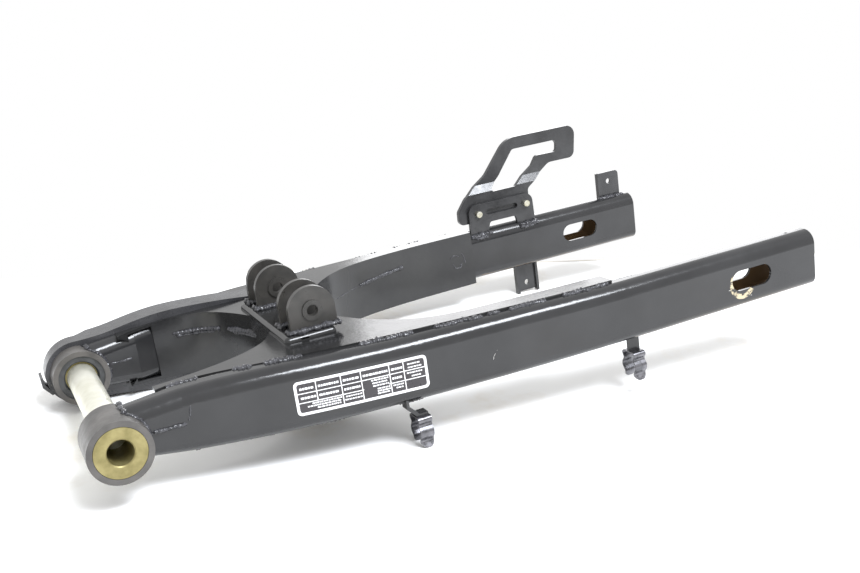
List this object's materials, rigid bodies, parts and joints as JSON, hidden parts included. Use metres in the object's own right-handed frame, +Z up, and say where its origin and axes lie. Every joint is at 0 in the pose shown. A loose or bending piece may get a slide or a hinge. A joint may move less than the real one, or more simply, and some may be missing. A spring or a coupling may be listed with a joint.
{
  "type": "motorcycle swingarm",
  "caption": "Black welded tube-and-sheet motorcycle swingarm with pivot tubes, linkage ears, chain slider, chain guide bracket, axle slots and hose clips.",
  "frame": {"origin": "on the pivot axis, level with the middle between the rear arm ends", "axes": "+X from the pivot to the axle along the arms, +Y along the pivot axis towards the chain side, +Z up as the arm lies in the picture, which is upside down compared with riding"},
  "size_m": [0.5948, 0.2757, 0.1624],
  "materials": {
    "arm_paint": "satin black",
    "sheet_paint": "satin black",
    "pivot_paint": "satin black",
    "ear_paint": "dull black",
    "bracket_paint": "satin black",
    "bush_steel": "ground",
    "seal_rubber": "matte",
    "yellow_zinc": "yellow zinc plate",
    "spacer_zinc": "zinc plate",
    "nut_steel": "dull black",
    "slider_plastic": "moulded",
    "bolt_zinc": "zinc plate",
    "clip_zinc": "dark zinc plate"
  },
  "bodies": {
    "swingarm": {"right_arm_tube": "arm_paint", "left_arm_tube": "arm_paint", "crossmember_upper_shell": "sheet_paint", "crossmember_lower_shell": "sheet_paint", "right_pivot_tube": "pivot_paint", "left_pivot_tube": "pivot_paint", "right_pivot_bush": "bush_steel", "left_pivot_bush": "bush_steel", "right_dust_seal": "seal_rubber", "left_dust_seal": "seal_rubber", "linkage_pedestal": "sheet_paint", "ear_right_outer": "ear_paint", "ear_right_inner": "ear_paint", "ear_left_inner": "ear_paint", "ear_left_outer": "ear_paint", "ear_nuts": "nut_steel", "chain_slider": "slider_plastic", "guide_base": "bracket_paint", "chain_guide_loop": "bracket_paint", "guide_bolts": "bolt_zinc", "upper_lug": "bracket_paint", "lower_lug": "bracket_paint", "hose_clip_front": "clip_zinc", "hose_clip_rear": "clip_zinc", "clip_stem_front": "bracket_paint", "clip_stem_rear": "bracket_paint"},
    "pivot_sleeve": {"right_pivot_collar": "yellow_zinc", "left_pivot_collar": "yellow_zinc", "pivot_spacer": "spacer_zinc"}
  },
  "joints": [
    {"name": "pivot_turn", "type": "hinge", "parent": "swingarm", "child": "pivot_sleeve", "pos_m": [0, 0, 0], "axis": [0, 1, 0], "range_deg": [-180, 180]}
  ]
}
